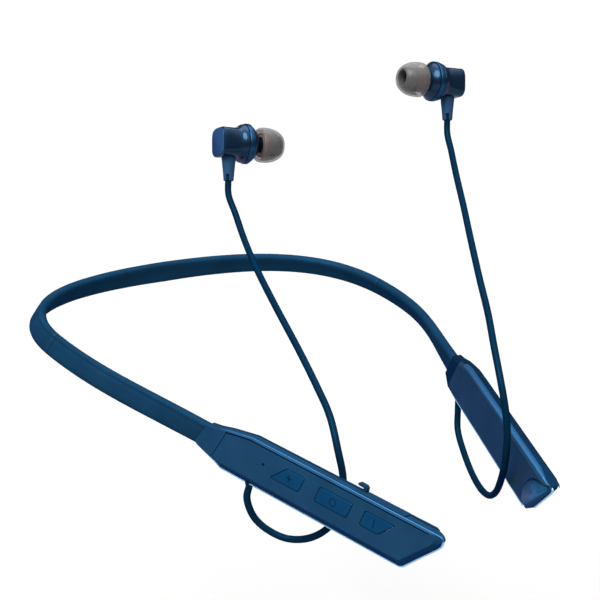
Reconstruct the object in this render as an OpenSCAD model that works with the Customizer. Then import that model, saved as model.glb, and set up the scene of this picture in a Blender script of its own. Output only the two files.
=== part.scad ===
// Neckband earphones: a sprung band with a control pod and a battery pod,
// and two in-ear buds on short cords. +Z is up, +Y the nape, -Y the pods, and
// the wearer's right (control pod, names ending in _r) is at -X.

/* [Band] */
// Half the width across the band's widest place
band_half_width = 70; // [55:0.5:80]
// How far in front of the nape the band is widest
band_wide_at = 44.3; // [35:0.5:60]
// How far in front of the nape the pods begin
band_depth = 119.3; // [100:0.5:140]
// Half the distance between the two pods where they begin
pod_gap_half = 53.9; // [40:0.1:60]
// Height of the strap
strap_height = 7.8; // [6:0.1:10]
// Thickness of the strap
strap_thick = 3.4; // [3:0.1:4.5]
// How far the strap leans inward at its side, degrees
strap_lean = 30; // [0:1:40]
// How far both open ends stand over to the wearer's right
sway = 5.1; // [-10:0.1:10]
// Angle that goes with the sway, degrees
sway_turn = 6.75; // [-8:0.05:8]
// How much nearer the nape the battery pod begins
lead_l = 8.8; // [0:0.1:12]

/* [Pods] */
// Angle at which the pods close toward each other, degrees
pod_toe_in = 17.85; // [5:0.05:25]
// Lean of the pods' outer faces, degrees
pod_lean = 6; // [0:1:15]
// Thickness of a pod
pod_thick = 6.4; // [6.4:0.1:8]
// How much longer the battery pod is
longer_l = 7.6; // [0:0.1:12]
// Wall of the pod shells
pod_wall = 1; // [0.8:0.1:1.2]
// Gap around each key
key_gap = 0.15; // [0.1:0.01:0.25]

/* [Earbuds] */
// Outside diameter of an ear tip
tip_d = 11.7; // [10.5:0.1:13]
// Diameter of the earbud's ring
ring_d = 13.4; // [12.6:0.1:14.5]
// Distance of the stem behind the ring
stem_back = 6; // [5:0.1:7.5]

/* [Cords] */
// Diameter of the cords
cord_d = 2.2; // [1.6:0.1:2.6]

/* [Hidden] */
fine = 36;
cord_sides = 8;
yo = strap_thick / 2; // the nape's inner face is at Y = 0

// pod frames: start of the pod on the strap's middle line, and heading
start_r = [-(pod_gap_half + sway), -band_depth, 0];
start_l = [pod_gap_half - sway, lead_l - band_depth, 0];
toe_r = pod_toe_in - sway_turn;
toe_l = pod_toe_in + sway_turn;

// pod outline, along the pod and across it, then its section and its plan
function pod_side(far) = [[-1.4, -4.2], [far > 0 ? 3 : 7.6, -6.3], [far > 0 ? 5 : 9.8, -7.2],
    [80.8 + far, -7.2], [93.8 + far, 5], [94.5 + far, 6.2], [94.1 + far, 7.1], [92.8 + far, 7.6],
    [22, 7.6], [12.6, 6], [7, 4.8], [3.6, 4.4]];
function pod_side_in(far) = [[10.4, -4.6], [11.4, -6.2], [80.2 + far, -6.2], [92 + far, 4.9],
    [92.2 + far, 6.2], [91.8 + far, 6.6], [22.2, 6.6], [12.8, 5], [10.4, 4]];
hp = pod_thick / 2;
hi = hp - pod_wall;
neck_n = 2.3;
thin = 0.6; // how much thinner the pods are at the neck's end
pod_sec = [[7, hp], [-4.4, hp], [-7.2, 0.8], [-7.2, 1 - hp], [-6.2, -hp], [7.2, 1.4 - hp],
           [7.6, 1.8 - hp], [7.6, hp - 0.6]];
pod_sec_in = [[6.6, hi], [-4, hi], [-6.2, 0.4], [-6.2, 1 - hp], [-5.8, -hi], [6.6, 1.3 - hi]];
function pod_plan(far) = [[-1.5, -neck_n], [12, thin - hp], [86 + far, -hp], [95 + far, 0.6 - hp],
    [95 + far, hp - 0.4], [91 + far, hp], [10, hp], [-1.5, neck_n]];
function pod_plan_in(far) = [[5, thin - hi], [12, thin - hi], [86 + far, -hi], [100 + far, -hi],
    [100 + far, hi], [5, hi]];
part_line = -0.4;

key_plus_2d = [[32.1, -0.8], [42.9, -0.8], [44.5, 4], [37.5, 4]];
key_multi_2d = [[49.1, -0.8], [61.3, -0.8], [62.7, 4], [50.5, 4]];
key_minus_2d = [[66.2, -0.6], [72.9, -0.6], [77.7, 4], [67.4, 4]];
switch_at = [[38.6, 1.6], [55.9, 1.6], [69.8, 1.6]];
mic_at = [28.5, 1.6];
port_u = [71.5, 78.9];
port_n = [-0.8, 1.5];
flap_u = [61.2, 79.8];
flap_n = [-1.1, 1.9];
tab_u = 61.2;
exit_u_r = 21.5;
exit_u_l = 11;
exit_n = -0.7;
boot_len = 1.5;
exit_v = -7.2 - boot_len;

// earbuds: centre of the ring, and how it is turned; where the stem ends
bud_r_at = [-8.2, -56.8, 67.6];
bud_r_turn = [-24, 5.3, -12.3];
bud_l_at = [52.3, -77.6, 90.2];
bud_l_turn = [23.5, -6.9, 171.6];
ring_r = ring_d / 2;
stem_end = -12.6;
cord_gap = 0.3; // the stem can turn on its cord

straight_end = 4.5; // straight stretch of cord at the exit and under the stem

// routes of the two cords between the pods and the buds
route_r = [[-54, -142.5, -18.5], [-51, -146, -22], [-47, -151, -23.5], [-43.5, -157, -21],
           [-41, -162, -15.5], [-40, -165, -8], [-40, -165, 1.5], [-40.5, -161.5, 10],
           [-39, -154.5, 17], [-37, -145, 21.5], [-33, -129, 26.5], [-28, -108, 32.5],
           [-23, -89.5, 37.5], [-19, -76, 42], [-17, -67, 47.5]];
route_l = [[43.5, -123.5, -19], [41.5, -129.5, -23.5], [37.5, -139, -26.5], [32, -149.5, -26],
           [25, -160.5, -21.5], [18.5, -169.5, -14], [13, -176, -4.5], [9.5, -179.5, 4.5],
           [8, -180, 13], [8, -177.5, 20.5], [9, -172.5, 28], [12.5, -164.5, 34.5],
           [17.5, -155, 40.5], [24, -142.5, 46.5], [33, -127, 52.5], [42, -112, 58],
           [49, -99, 64], [53.5, -90, 69.5]];

// ---- small vector helpers
function unit(v) = v / norm(v);
function rx(a) = [[1, 0, 0], [0, cos(a), -sin(a)], [0, sin(a), cos(a)]];
function ry(a) = [[cos(a), 0, sin(a)], [0, 1, 0], [-sin(a), 0, cos(a)]];
function rz(a) = [[cos(a), -sin(a), 0], [sin(a), cos(a), 0], [0, 0, 1]];
function bud_point(at, turn, p) = at + rz(turn[2]) * (ry(turn[1]) * (rx(turn[0]) * p));
function pod_point(r, p) = r
    ? start_r + rz(toe_r - 90) * (rx(90) * (rx(-pod_lean) * p))
    : start_l + rz(-90 - toe_l) * (rx(90) * ([[1, 0, 0], [0, 1, 0], [0, 0, -1]]
                                             * (rx(-pod_lean) * p)));

// ---- the band's middle line: two curves a side, joined where it is widest
function bez(p, t) = pow(1 - t, 3) * p[0] + 3 * pow(1 - t, 2) * t * p[1]
                   + 3 * (1 - t) * t * t * p[2] + pow(t, 3) * p[3];
function slope(p, t) = 3 * pow(1 - t, 2) * (p[1] - p[0]) + 6 * (1 - t) * t * (p[2] - p[1])
                     + 3 * t * t * (p[3] - p[2]);
function toe(g) = g < 0 ? toe_r : toe_l;
function end_xy(g) = [pod_gap_half - g * sway, (g > 0 ? lead_l : 0) - band_depth];
function heading(g) = [-sin(toe(g)), -cos(toe(g))];
function nape_curve(g) = [[0, yo], [32, yo], [band_half_width, 41 - band_wide_at],
                          [band_half_width, -band_wide_at]];
function side_curve(g) = [[band_half_width, -band_wide_at],
                          [band_half_width, -28 - band_wide_at],
                          end_xy(g) - 28 * heading(g), end_xy(g)];
// q runs 0 to 1 on the nape curve, 1 to 2 on the side, then 1 mm a unit into the pod
function mid_xy(g, q) = q <= 1 ? bez(nape_curve(g), q)
                      : q <= 2 ? bez(side_curve(g), q - 1) : end_xy(g) + (q - 2) * heading(g);
function dir_xy(g, q) = unit(q <= 1 ? slope(nape_curve(g), q)
                           : q <= 2 ? slope(side_curve(g), q - 1) : heading(g));
function lean(q) = let (s = min(q, 2) / 2)
    strap_lean * 4 * s * (1 - s) + pod_lean * s * (2 * s - 1);
// a ring of points of section sec, given as [across, outward]
function strap_ring(g, q, sec) = let (p = mid_xy(g, q), d = dir_xy(g, q), a = lean(q),
        out = [-g * d[1], d[0], 0], up = [0, 0, 1],
        w = cos(a) * up - sin(a) * out, n = sin(a) * up + cos(a) * out)
    [for (s = sec) [g * p[0], p[1], 0] + s[0] * w + s[1] * n];

sh = strap_height / 2;
st = strap_thick / 2;
strap_sec = [[sh, 0.3], [sh, -0.5], [sh - 0.4, -st + 0.4], [sh - 1.1, -st],
             [-sh + 1.1, -st], [-sh + 0.4, -st + 0.4], [-sh, -0.5], [-sh, 0.5],
             [-sh + 0.4, st - 0.4], [-sh + 1.2, st], [sh - 1.5, st], [sh - 0.5, st - 0.5]];
channel_sec = [[2.6, 0.3], [2.6, -0.3], [2.4, -0.65], [1.4, -0.75], [-1.4, -0.75], [-2.4, -0.65],
               [-2.6, -0.3], [-2.6, 0.3], [-2.4, 0.65], [-1.4, 0.75], [1.4, 0.75], [2.4, 0.65]];
function round_sec(r, c) = [for (k = [0:7]) [c + r * cos(-45 * k), r * sin(-45 * k)]];
wire_sec = round_sec(0.55, 1.3);
ribbon_sec = [[-0.1, 0.16], [-0.1, -0.16], [-2.2, -0.16], [-2.2, 0.16]];
nape_qs = [for (k = [0:22]) k / 22];
side_qs = concat([for (k = [0:18]) 1 + k / 18], [3.5, 5, 8]);
full_rings = function (sec) concat(
    [for (k = [22:-1:1]) strap_ring(-1, nape_qs[k], sec)],
    [for (k = [0:22]) strap_ring(1, nape_qs[k], sec)]);

// solid swept through rings of points
module sweep(rings) {
    n = len(rings[0]);
    m = len(rings);
    walls = [for (i = [0:m - 2], j = [0:n - 1])
        let (a = i * n + j, b = i * n + (j + 1) % n) each [[a, b, a + n], [b, b + n, a + n]]];
    caps = [for (j = [1:n - 2]) each [[0, j + 1, j], [(m - 1) * n, (m - 1) * n + j, (m - 1) * n + j + 1]]];
    polyhedron([for (r = rings) each r], concat(walls, caps));
}

// hollow solid between two sets of rings
module pipe(outer, inner) {
    n = len(outer[0]);
    m = len(outer);
    o = m * n;
    e = (m - 1) * n;
    walls = [for (i = [0:m - 2], j = [0:n - 1])
        let (a = i * n + j, b = i * n + (j + 1) % n)
        each [[a, b, a + n], [b, b + n, a + n], [o + a, o + a + n, o + b], [o + b, o + a + n, o + b + n]]];
    ends = [for (j = [0:n - 1]) let (k = (j + 1) % n)
        each [[j, o + j, k], [k, o + j, o + k], [e + j, e + k, o + e + j], [e + k, o + e + k, o + e + j]]];
    polyhedron([for (r = outer) each r, for (r = inner) each r], concat(walls, ends));
}

function side_rings(g, sec) = [for (q = side_qs) strap_ring(g, q, sec)];
// the side rings turn the other way round on the +X side
function wound(g, rings) = g < 0 ? rings : [for (r = rings) [for (k = [len(r) - 1:-1:0]) r[k]]];

// ---- cords
function cat_rom(a, b, c, d, t) = 0.5 * ((2 * b) + (c - a) * t + (2 * a - 5 * b + 4 * c - d) * t * t
                                + (3 * b - a - 3 * c + d) * t * t * t);
function cord_line(p) = [for (i = [1:len(p) - 3], t = i == len(p) - 3 ? [0, 0.5, 1] : [0, 0.5])
    cat_rom(p[i - 1], p[i], p[i + 1], p[i + 2], t)];
function cord_route(r) = let (
        s = pod_point(r, [r ? exit_u_r : exit_u_l, exit_v, exit_n]),
        s2 = pod_point(r, [r ? exit_u_r : exit_u_l, exit_v - straight_end, exit_n]),
        b = r ? bud_r_at : bud_l_at, t = r ? bud_r_turn : bud_l_turn,
        e = bud_point(b, t, [-stem_back, 0, stem_end - cord_gap]),
        e2 = bud_point(b, t, [-stem_back, 0, stem_end - cord_gap - straight_end]))
    concat([2 * s - s2, s, s2], r ? route_r : route_l, [e2, e, 2 * e - e2]);
// frames carried along the line without twist
function tangents(l) = [for (i = [0:len(l) - 1])
    unit(l[min(i + 1, len(l) - 1)] - l[max(i - 1, 0)])];
function carried(t, u, i, acc) = i == len(t) ? acc
    : let (v = unit(u - (u * t[i]) * t[i])) carried(t, v, i + 1, concat(acc, [v]));
module cord(r) {
    l = cord_line(cord_route(r));
    t = tangents(l);
    u = carried(t, [0.3, -1, 0.2], 0, []);
    r_cord = cord_d / 2;
    sweep([for (i = [0:len(l) - 1]) let (v = cross(t[i], u[i]))
        [for (k = [0:cord_sides - 1]) let (a = -(k + 0.5) * 360 / cord_sides)
            l[i] + r_cord * (cos(a) * u[i] + sin(a) * v)]]);
}

// ---- pods, in their own frame: X along, Y across (up), Z outward
module at_r() translate(start_r) rotate([0, 0, toe_r - 90]) rotate([90, 0, 0])
    rotate([-pod_lean, 0, 0]) children();
module at_l() translate(start_l) rotate([0, 0, -90 - toe_l]) rotate([90, 0, 0])
    mirror([0, 0, 1]) rotate([-pod_lean, 0, 0]) children();
module slab(z0, z1) translate([0, 0, z0]) linear_extrude(z1 - z0) children();
module block(a, b) translate(a) cube(b - a);
module peg(x, y, z0, z1, d) translate([x, y, z0]) cylinder(d = d, h = z1 - z0, $fn = fine);

module three_way(side, sec, plan) intersection() {
    slab(-10, 10) polygon(side);
    translate([-5, 0, 0]) rotate([90, 0, 90]) linear_extrude(120) polygon(sec);
    translate([0, 20, 0]) rotate([90, 0, 0]) linear_extrude(40) polygon(plan);
}
module pod_solid(far) three_way(pod_side(far), pod_sec, pod_plan(far));
module pod_hollow(far) {
    three_way(pod_side_in(far), pod_sec_in, pod_plan_in(far));
    // socket for the strap's end, and a way through for the wire and ribbon
    block([-3, -sh - 0.1, -st - 0.1], [8.1, sh + 0.1, st + 0.1]);
    block([7, -2.7, -0.85], [12, 2.7, 0.85]);
}
// way out for a cord, with a pocket inside for the boot's flange
module cord_hole(u) translate([u, -4.4, exit_n]) rotate([90, 0, 0]) {
    cylinder(d = 2.5, h = 5, $fn = fine);
    cylinder(d = 3.1, h = 1.82, $fn = fine);
}
module shell(front, far) {
    z = front ? [part_line, 10] : [-10, part_line];
    intersection() {
        pod_solid(far);
        block([-10, -12, z[0]], [110, 12, z[1]]);
    }
}
module port_cut() {
    block([port_u[0] - 0.1, 6, port_n[0] - 0.1], [port_u[1] + 0.1, 8, port_n[1] + 0.1]);
    block([flap_u[0] - 0.2, 7, flap_n[0] - 0.15], [flap_u[1] + 0.2, 8, flap_n[1] + 0.15]);
}

module neck_sleeve() color("#1f4a70") pipe(full_rings(strap_sec), full_rings(channel_sec));
module memory_wire() color("#b9bec4") sweep(full_rings(wire_sec));
module band_ribbon() color("#c97c3a") sweep(full_rings(ribbon_sec));
module flex_sleeve(g) pipe(wound(g, side_rings(g, strap_sec)), wound(g, side_rings(g, channel_sec)));
module flex_sleeve_r() color("#1f4a70") flex_sleeve(-1);
module flex_sleeve_l() color("#1f4a70") flex_sleeve(1);
module flex_wire_r() color("#b9bec4") sweep(wound(-1, side_rings(-1, wire_sec)));
module flex_wire_l() color("#b9bec4") sweep(wound(1, side_rings(1, wire_sec)));
module flex_ribbon_r() color("#c97c3a") sweep(wound(-1, side_rings(-1, ribbon_sec)));
module flex_ribbon_l() color("#c97c3a") sweep(wound(1, side_rings(1, ribbon_sec)));

// control pod
module key_hole(p) slab(1, 5) offset(delta = key_gap) polygon(p);
module pod_front_r() color("#29547a") at_r() difference() {
    shell(true, 0);
    pod_hollow(0);
    key_hole(key_plus_2d);
    key_hole(key_multi_2d);
    key_hole(key_minus_2d);
    peg(mic_at[0], mic_at[1], 1, 5, 1);
    port_cut();
    cord_hole(exit_u_r);
}
module pod_back_r() color("#24486b") at_r() {
    difference() {
        shell(false, 0);
        pod_hollow(0);
        port_cut();
        cord_hole(exit_u_r);
    }
    for (p = [[16, -3.6], [16, 3.6], [60, -4.2], [84, 2]]) peg(p[0], p[1], -hi, -0.9, 2);
}
// a key: cap, retaining flange under the face, and the plunger over its switch
module key(p, s) {
    slab(hi - 0.2, hp + 0.1) polygon(p);
    slab(hi - 0.6, hi - 0.2) intersection() {
        offset(delta = 0.6) polygon(p);
        translate([0, -3.6]) square([port_u[0] - 0.3, 10]);
    }
    peg(s[0], s[1], 0.55, hi - 0.5, 1.4);
}
module key_plus() color("#1e4b76") at_r() key(key_plus_2d, switch_at[0]);
module key_multi() color("#1e4b76") at_r() key(key_multi_2d, switch_at[1]);
module key_minus() color("#1e4b76") at_r() key(key_minus_2d, switch_at[2]);
module main_board() color("#1d6b45") at_r() slab(-0.9, -0.1) difference() {
    polygon([[14, -5.2], [79.4, -5.2], [88.6, 3.6], [88.6, 5.4], [18, 5.4], [14, 4.6]]);
    translate([port_u[0] - 0.2, 0.2]) square([port_u[1] - port_u[0] + 0.4, 8]);
}
module tact_switches() color("#d8d8d2") at_r() for (s = switch_at) difference() {
    block([s[0] - 1.5, s[1] - 1.5, -0.1], [s[0] + 1.5, s[1] + 1.5, 1.1]);
    peg(s[0], s[1], 0.05, 2, 2.1);
}
module shield_can() color("#c3c7ca") at_r() block([30, -4, -1.3], [48, 2, -0.9]);
module board_parts() color("#30343a") at_r() {
    for (p = [[24.6, -4, 2, 1.2], [32.5, -4.4, 3, 1.4], [46, -3.6, 2.2, 2.2], [46.4, 3.4, 1.6, 0.8],
              [60.6, -4.4, 3.2, 1.4], [64, 1.2, 1, 2], [74, -4.2, 2.2, 1.2], [83, 2.2, 3, 2]])
        block([p[0], p[1], -0.1], [p[0] + p[2], p[1] + p[3], 0.7]);
    block([14.2, -4.8, -0.1], [16, 4.8, 0.9]);
}
module vibration_motor() color("#b7bbbf") at_r() peg(20.4, 0, -0.1, 2, 7);
module microphone() color("#c9b27a") at_r()
    block([mic_at[0] - 1.5, mic_at[1] - 1.2, -0.1], [mic_at[0] + 1.5, mic_at[1] + 1.2, 0.9]);
module mic_gasket() color("#2a2a2c") at_r() difference() {
    peg(mic_at[0], mic_at[1], 0.9, hi, 2.2);
    peg(mic_at[0], mic_at[1], 0, 4, 1);
}
module usb_port() color("#c8ccd0") at_r() {
    difference() {
        block([port_u[0], 0.6, port_n[0]], [port_u[1], 7, port_n[1]]);
        block([port_u[0] + 0.35, 1.2, port_n[0] + 0.35], [port_u[1] - 0.35, 8, port_n[1] - 0.35]);
    }
    block([port_u[0] + 1.2, 1, 0.05], [port_u[1] - 1.2, 6, 0.75]);
}
// soft cover over the port, with a pull tab at its free end
module port_flap() color("#1b3650") at_r() {
    block([flap_u[0], 7.05, flap_n[0]], [flap_u[1], 7.9, flap_n[1]]);
    block([73, 6.6, 0], [77.4, 7.3, 0.9]);
    block([tab_u + 2.4, 7.5, flap_n[0]], [tab_u + 3.4, 9.6, flap_n[0] + 1.6]);
    block([tab_u, 8.8, flap_n[0]], [tab_u + 3.4, 9.6, flap_n[0] + 1.6]);
}

// battery pod
module pod_front_l() color("#29547a") at_l() difference() {
    shell(true, longer_l);
    pod_hollow(longer_l);
    cord_hole(exit_u_l);
}
module pod_back_l() color("#24486b") at_l() difference() {
    shell(false, longer_l);
    pod_hollow(longer_l);
    cord_hole(exit_u_l);
}
module battery_cell() color("#9aa6b4") at_l() block([20, -4.4, -1], [78, 4.4, 1.6]);
module battery_pad() color("#3a3d42") at_l() block([24, -3.4, 1.6], [74, 4, hi]);
module battery_board() color("#1d6b45") at_l() block([81, -4.6, -0.9], [88, 4.2, -0.1]);
module battery_parts() color("#30343a") at_l() {
    block([83.4, -3, -0.1], [86.4, -0.4, 0.9]);
    block([84, 1, -0.1], [86, 3, 0.6]);
}
module battery_tabs() color("#c8ccd0") at_l() {
    block([78, -3.2, -0.1], [82.4, -1.7, 0.1]);
    block([78, 2.1, -0.1], [82.4, 3.6, 0.1]);
}
module boot(u) translate([u, -5.6, exit_n]) rotate([90, 0, 0]) rotate_extrude($fn = fine)
    polygon([[0, 0], [1.4, 0], [1.4, 0.6], [1.15, 0.6], [1.15, 1.6], [1.5, 1.6],
             [1.25, 1.6 + boot_len], [0, 1.6 + boot_len]]);
module cord_boot_r() color("#173a5c") at_r() boot(exit_u_r);
module cord_boot_l() color("#173a5c") at_l() boot(exit_u_l);
module cord_r() color("#12395f") cord(true);
module cord_l() color("#12395f") cord(false);

// ---- earbuds, in their own frame: X toward the ear, stem down
module bud_r() translate(bud_r_at) rotate(bud_r_turn) children();
module bud_l() translate(bud_l_at) rotate(bud_l_turn) children();
module turned(p) rotate([0, 90, 0]) rotate_extrude($fn = fine) polygon([for (q = p) [q[1], q[0]]]);
module drum(x0, x1, d) translate([x0, 0, 0]) rotate([0, 90, 0]) cylinder(d = d, h = x1 - x0, $fn = fine);

// rear shell, with its stem and the stem's relief slot
module bud_shell() difference() {
    union() {
        hull() {
            for (y = [-1, 1], z = [-1, 1]) translate([0, y * 2.7, z * 2.2]) drum(-10, -8.8, 5.4, $fn = 32);
            translate([-1.4, 0, 0]) rotate([0, 90, 0]) cylinder(r = ring_r - 0.3, h = 0.6, $fn = 32);
        }
        translate([-stem_back, 0, stem_end]) cylinder(r1 = 1.7, r2 = 2.5, h = 9.6, $fn = fine);
    }
    drum(-3.6, 0, 10.6);
    drum(-9.2, -3, 7.4);
    translate([-stem_back, 0, stem_end - 1]) cylinder(d = 1.6, h = 12, $fn = fine);
    translate([-stem_back, 0, stem_end - 1]) cylinder(d = 2.5, h = 4.4, $fn = fine);
    translate([-stem_back, 0, stem_end - 1]) rotate([0, 0, 56]) block([-3, -0.5, 0], [3, 0.5, 3.1]);
}
module bud_ring() turned([[-0.8, 5.4], [-0.8, ring_r - 0.25], [-0.5, ring_r], [0.5, ring_r],
                          [0.8, ring_r - 0.25], [0.8, 5.4]]);
module bud_front() turned([[0.8, 4.6], [0.8, ring_r - 0.5], [1.5, ring_r - 0.9], [4, 2.9], [4.2, 2.4],
                           [8.6, 2.4], [8.7, 2.6], [9.2, 2.6], [9.6, 2.3], [9.6, 2], [9.2, 2],
                           [9.2, 1.7], [4, 1.7], [1.6, 4.6]]);
module driver() turned([[-3.4, 0], [-3.4, 3.4], [-2, 3.4], [-2, 5], [0.8, 5], [0.8, 4.5],
                        [0.3, 3.6], [0.5, 0]]);
module magnet() drum(-9.2, -7.2, 6.6);
module nozzle_mesh() drum(9.2, 9.4, 3.8);
module ear_tip() let (o = tip_d / 2) turned([[5.4, 2.8], [12.7, 2.8], [12.9, 3.1], [12.8, 3.5], [12.3, 4.1],
    [11.5, 4.7], [10.2, 5.3], [8.6, o - 0.15], [6.8, o], [5.2, o - 0.15], [4.6, o - 0.4], [4.8, o - 0.8],
    [6.8, o - 0.7], [8.6, o - 0.85], [10, 4.6], [11, 4], [11.2, 3.5], [5.4, 3.5]]);
// rubber insert in the stem's end, where the cord goes in
module stem_sleeve() translate([-stem_back, 0, stem_end]) cylinder(d = 2.4, h = 3.4, $fn = fine);

module bud_shell_r() color("#16273a") bud_r() bud_shell();
module bud_shell_l() color("#16273a") bud_l() bud_shell();
module bud_ring_r() color("#2a5d8c") bud_r() bud_ring();
module bud_ring_l() color("#2a5d8c") bud_l() bud_ring();
module bud_front_r() color("#16273a") bud_r() bud_front();
module bud_front_l() color("#16273a") bud_l() bud_front();
module driver_r() color("#a8824e") bud_r() driver();
module driver_l() color("#a8824e") bud_l() driver();
module magnet_r() color("#b6b9bd") bud_r() magnet();
module magnet_l() color("#b6b9bd") bud_l() magnet();
module nozzle_mesh_r() color("#8b8f94") bud_r() nozzle_mesh();
module nozzle_mesh_l() color("#8b8f94") bud_l() nozzle_mesh();
module ear_tip_r() color("#6f7377") bud_r() ear_tip();
module ear_tip_l() color("#6f7377") bud_l() ear_tip();
module stem_sleeve_r() color("#173a5c") bud_r() stem_sleeve();
module stem_sleeve_l() color("#173a5c") bud_l() stem_sleeve();

neck_sleeve();
memory_wire();
band_ribbon();
flex_sleeve_r();
flex_sleeve_l();
flex_wire_r();
flex_wire_l();
flex_ribbon_r();
flex_ribbon_l();
pod_front_r();
pod_back_r();
key_plus();
key_multi();
key_minus();
main_board();
tact_switches();
shield_can();
board_parts();
vibration_motor();
microphone();
mic_gasket();
usb_port();
port_flap();
pod_front_l();
pod_back_l();
battery_cell();
battery_pad();
battery_board();
battery_parts();
battery_tabs();
cord_boot_r();
cord_boot_l();
cord_r();
cord_l();
bud_shell_r();
bud_shell_l();
bud_ring_r();
bud_ring_l();
bud_front_r();
bud_front_l();
driver_r();
driver_l();
magnet_r();
magnet_l();
nozzle_mesh_r();
nozzle_mesh_l();
ear_tip_r();
ear_tip_l();
stem_sleeve_r();
stem_sleeve_l();
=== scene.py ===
"""Neckband earphones: the looks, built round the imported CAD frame. Metres, +Z up, pods towards -Y."""
import math

import bmesh
import bpy
from mathutils import Matrix, Vector


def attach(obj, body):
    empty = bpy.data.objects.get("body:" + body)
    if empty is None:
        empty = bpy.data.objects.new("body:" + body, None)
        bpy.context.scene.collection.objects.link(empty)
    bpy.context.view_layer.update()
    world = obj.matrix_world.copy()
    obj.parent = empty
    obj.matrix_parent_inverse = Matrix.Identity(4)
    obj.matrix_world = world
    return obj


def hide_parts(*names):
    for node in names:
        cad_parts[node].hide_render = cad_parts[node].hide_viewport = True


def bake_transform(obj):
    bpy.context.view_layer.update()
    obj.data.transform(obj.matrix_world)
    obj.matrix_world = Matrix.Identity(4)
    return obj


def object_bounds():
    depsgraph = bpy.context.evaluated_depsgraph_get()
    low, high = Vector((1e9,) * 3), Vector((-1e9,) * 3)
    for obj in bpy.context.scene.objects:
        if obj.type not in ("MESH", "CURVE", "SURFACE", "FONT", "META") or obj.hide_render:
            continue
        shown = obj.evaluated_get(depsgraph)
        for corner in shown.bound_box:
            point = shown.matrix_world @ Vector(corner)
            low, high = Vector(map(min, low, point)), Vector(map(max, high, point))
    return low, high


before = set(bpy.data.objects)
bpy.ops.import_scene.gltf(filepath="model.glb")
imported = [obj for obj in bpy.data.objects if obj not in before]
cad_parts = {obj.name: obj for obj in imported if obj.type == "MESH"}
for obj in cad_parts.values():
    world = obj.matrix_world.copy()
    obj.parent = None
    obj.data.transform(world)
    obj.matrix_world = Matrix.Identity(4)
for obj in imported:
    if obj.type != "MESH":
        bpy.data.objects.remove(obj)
cad_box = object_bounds()
MM = 0.001

# ---- driving sizes, the same as the CAD's, in millimetres and degrees; r is the control side, l the battery
HALF_WIDTH = 70.0
WIDE_AT = 44.3
DEPTH = 119.3
GAP_HALF = 53.9
STRAP_H = 7.8
STRAP_T = 3.4
STRAP_LEAN = 30.0
SWAY = 5.1
SWAY_TURN = 6.75
TOE_IN = 17.85
POD_LEAN = 6.0
POD_T = 6.4
LEAD = {"r": 0, "l": 8.8}
LONGER = {"r": 0, "l": 7.6}
PART_LINE = -0.4
STEM_BACK = 6.0
STEM_END = -12.6
CORD_D = 2.2
SIDES = {"r": -1, "l": 1}


# ---- camera, at the photographed angle
def add_camera():
    """Stands left of the front, looking down on the earphones, turned a little about its own axis."""
    azimuth, elevation, roll = map(math.radians, (-38.0, 23.67, 6.0))
    distance = 0.52
    target = Vector((0, -0.0883, 0))
    back = Vector((math.sin(azimuth) * math.cos(elevation),
                   -math.cos(azimuth) * math.cos(elevation), math.sin(elevation)))
    level = Vector((math.cos(azimuth), math.sin(azimuth), 0))
    upright = back.cross(level)
    right = math.cos(roll) * level + math.sin(roll) * upright
    up = math.cos(roll) * upright - math.sin(roll) * level
    data = bpy.data.cameras.new("camera")
    data.sensor_width = 36
    data.lens = 92.24
    data.shift_x = -0.0013
    data.shift_y = 0.1018
    data.clip_start, data.clip_end = 0.01, 50
    camera = bpy.data.objects.new("camera", data)
    bpy.context.scene.collection.objects.link(camera)
    camera.matrix_world = Matrix((right, up, back)).transposed().to_4x4()
    camera.location = target + distance * back
    bpy.context.scene.camera = camera


add_camera()


# ---- local frames: a pod's is X along it, Y across, Z outward; a bud's is X to the ear, -Z down its stem
def turn(axis, degrees):
    """A rotation about one axis."""
    return Matrix.Rotation(math.radians(degrees), 4, axis)


def pod_frame(side):
    """From the pod's millimetres to the assembly's metres; the battery pod's frame is a mirror image."""
    g = SIDES[side]
    toe = TOE_IN + g * SWAY_TURN
    start = Matrix.Translation(MM * Vector((g * GAP_HALF - SWAY, LEAD[side] - DEPTH, 0)))
    flip = Matrix.Scale(-1, 4, (0, 0, 1)) if g > 0 else Matrix()
    heading = turn("Z", (toe if g < 0 else -toe) - 90)
    return start @ heading @ turn("X", 90) @ flip @ turn("X", -POD_LEAN) @ Matrix.Scale(MM, 4)


def bud_frame(at, angles):
    """From a bud's millimetres to the assembly's metres."""
    turned = turn("Z", angles[2]) @ turn("Y", angles[1]) @ turn("X", angles[0])
    return Matrix.Translation(MM * Vector(at)) @ turned @ Matrix.Scale(MM, 4)


POD = {side: pod_frame(side) for side in SIDES}
BUD = {"r": bud_frame((-8.2, -56.8, 67.6), (-24, 5.3, -12.3)),
       "l": bud_frame((52.3, -77.6, 90.2), (23.5, -6.9, 171.6))}
EXIT = {"r": (21.5, -8.7, -0.7), "l": (11, -8.7, -0.7)}

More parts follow.
